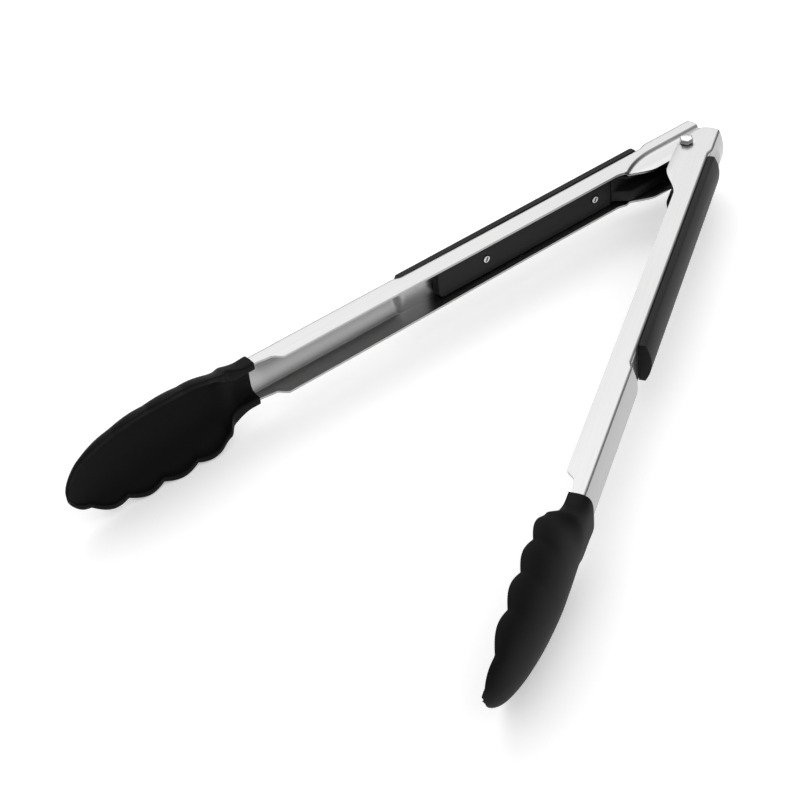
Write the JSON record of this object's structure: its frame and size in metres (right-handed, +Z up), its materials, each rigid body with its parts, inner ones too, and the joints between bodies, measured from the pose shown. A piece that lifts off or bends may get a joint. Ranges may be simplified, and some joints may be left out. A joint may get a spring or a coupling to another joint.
{
  "type": "spring loaded kitchen tongs",
  "caption": "Kitchen tongs with pressed steel arms on a sprung pivot, moulded grips and scalloped silicone scoop heads.",
  "frame": {"origin": "on the surface the tongs lie on, under the middle of their bounding box at rest, half open", "axes": "+X from the pivot towards the heads, +Y towards the outer arm, +Z up along the pivot axis"},
  "size_m": [0.2926, 0.1794, 0.0378],
  "materials": {
    "stainless_sheet": "fine brushed, satin",
    "head_silicone": "matte moulded",
    "grip_plastic": "satin soft touch",
    "liner_plastic": "matte moulded",
    "bright_fastener": "polished",
    "spring_wire": "drawn wire",
    "bush_nylon": "moulded"
  },
  "bodies": {
    "outer_side": {"outer_arm": "stainless_sheet", "outer_head": "head_silicone", "outer_grip": "grip_plastic", "outer_liner": "liner_plastic", "outer_spring_block": "liner_plastic", "outer_rear_screw": "bright_fastener", "outer_front_screw": "bright_fastener", "pivot_pin": "bright_fastener", "pin_cap": "bright_fastener", "spring_bush": "bush_nylon", "upper_washer": "bush_nylon", "lower_washer": "bush_nylon", "torsion_spring": "spring_wire"},
    "inner_side": {"inner_arm": "stainless_sheet", "inner_head": "head_silicone", "inner_grip": "grip_plastic", "inner_liner": "liner_plastic", "inner_spring_block": "liner_plastic", "inner_rear_screw": "bright_fastener", "inner_front_screw": "bright_fastener"}
  },
  "joints": [
    {"name": "arm_pivot", "type": "hinge", "parent": "outer_side", "child": "inner_side", "pos_m": [-0.13235, 0, 0.01892], "axis": [0, 0, 1], "range_deg": [0, 33.4], "stiffness_Nm_per_rad": 0.35, "springref_deg": -34.38, "deforming": ["torsion_spring"]}
  ]
}
